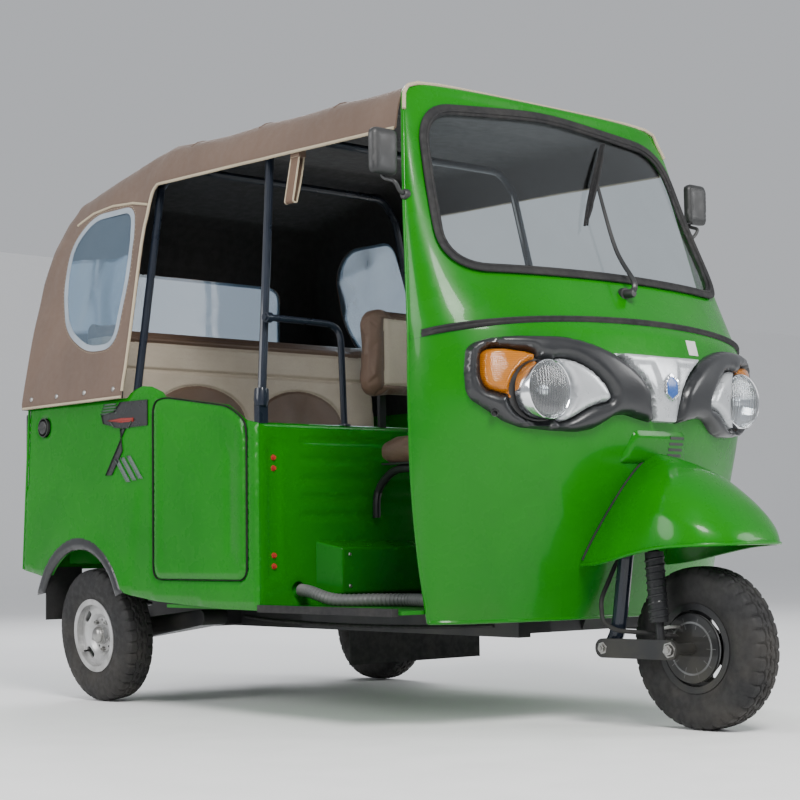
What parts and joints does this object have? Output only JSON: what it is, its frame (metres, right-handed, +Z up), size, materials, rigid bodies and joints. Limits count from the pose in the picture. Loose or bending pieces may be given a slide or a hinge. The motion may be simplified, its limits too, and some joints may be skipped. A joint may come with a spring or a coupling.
{
  "type": "auto rickshaw",
  "caption": "Three-wheeled auto rickshaw with a steel cowl and windscreen, an open driver's cab, a passenger tub with a bench seat and a canvas canopy on steel hoops.",
  "frame": {"origin": "on the ground under the middle of the vehicle's box", "axes": "+Z up, the vehicle faces -Y, +X is its left side"},
  "size_m": [1.35, 2.5955, 1.7539],
  "materials": {
    "green_paint": "glossy green body paint",
    "black_paint": "satin black chassis paint",
    "dark_tube": "semi-gloss blue-black tube paint",
    "glass": "tinted laminated glass",
    "clear_sheet": "clear flexible window sheet",
    "black_rubber": "matt black rubber",
    "black_plastic": "grained black plastic",
    "silver_plastic": "silver painted plastic",
    "lamp_lens": "clear headlamp with chrome reflector",
    "amber_lens": "amber lens",
    "red_lens": "red lens",
    "brown_canvas": "brown coated canvas with cream piping",
    "brown_vinyl": "brown seat vinyl",
    "cream_vinyl": "cream and brown seat vinyl",
    "tyre_rubber": "tyre rubber",
    "silver_rim": "silver wheel paint",
    "cast_alloy": "cast aluminium",
    "grey_conduit": "grey corrugated sleeve"
  },
  "bodies": {
    "vehicle": {"chassis": "black_paint", "cowl": "green_paint", "windscreen": "glass", "windscreen_seal": "black_rubber", "waist_moulding": "black_rubber", "lamp_fascia": "black_plastic", "nose_garnish": "silver_plastic", "headlamps": "lamp_lens", "indicators": "amber_lens", "front_mudguard": "green_paint", "wiper": "black_plastic", "mirrors": "black_plastic", "dashboard": "black_plastic", "floor_pan": "green_paint", "sill_rubbers": "black_rubber", "bulkhead": "green_paint", "floor_conduit": "grey_conduit", "driver_seat_frame": "black_paint", "driver_cushion": "brown_vinyl", "driver_backrest": "cream_vinyl", "tub_side_right": "green_paint", "tub_side_left": "green_paint", "tub_rear": "green_paint", "seat_box": "green_paint", "passenger_cushion": "brown_vinyl", "passenger_backrest": "cream_vinyl", "arch_trims": "black_plastic", "mudflaps": "black_rubber", "fuel_cap": "black_plastic", "tail_lamps": "red_lens", "rear_bumper": "black_paint", "canopy": "brown_canvas", "canopy_windows": "clear_sheet", "canopy_frame": "dark_tube", "grab_strap": "brown_canvas", "engine_block": "cast_alloy", "rear_suspension": "black_paint"},
    "steering": {"steering_column": "dark_tube", "front_suspension": "black_paint", "brake_hose": "black_rubber"},
    "front_wheel": {"front_tyre": "tyre_rubber", "front_rim": "black_paint"},
    "rear_wheel_right": {"rear_tyre_right": "tyre_rubber", "rear_rim_right": "silver_rim"},
    "rear_wheel_left": {"rear_tyre_left": "tyre_rubber", "rear_rim_left": "silver_rim"},
    "hatch": {"engine_hatch": "green_paint"}
  },
  "joints": [
    {"name": "steering_turn", "type": "hinge", "parent": "vehicle", "child": "steering", "pos_m": [0, -0.88047, 0.56], "axis": [0, 0.3778, 0.9259], "range_deg": [-30, 30]},
    {"name": "front_wheel_spin", "type": "hinge", "parent": "steering", "child": "front_wheel", "pos_m": [0, -1.089, 0.2085], "axis": [1, 0, 0], "continuous": true},
    {"name": "rear_wheel_right_spin", "type": "hinge", "parent": "vehicle", "child": "rear_wheel_right", "pos_m": [-0.575, 0.861, 0.21018], "axis": [0.9966, 0, 0.0819], "continuous": true},
    {"name": "rear_wheel_left_spin", "type": "hinge", "parent": "vehicle", "child": "rear_wheel_left", "pos_m": [0.575, 0.861, 0.21018], "axis": [0.9966, 0, -0.0819], "continuous": true},
    {"name": "hatch_hinge", "type": "hinge", "parent": "vehicle", "child": "hatch", "pos_m": [0, 1.24848, 0.76], "axis": [1, 0, 0], "range_deg": [0, 75]}
  ]
}
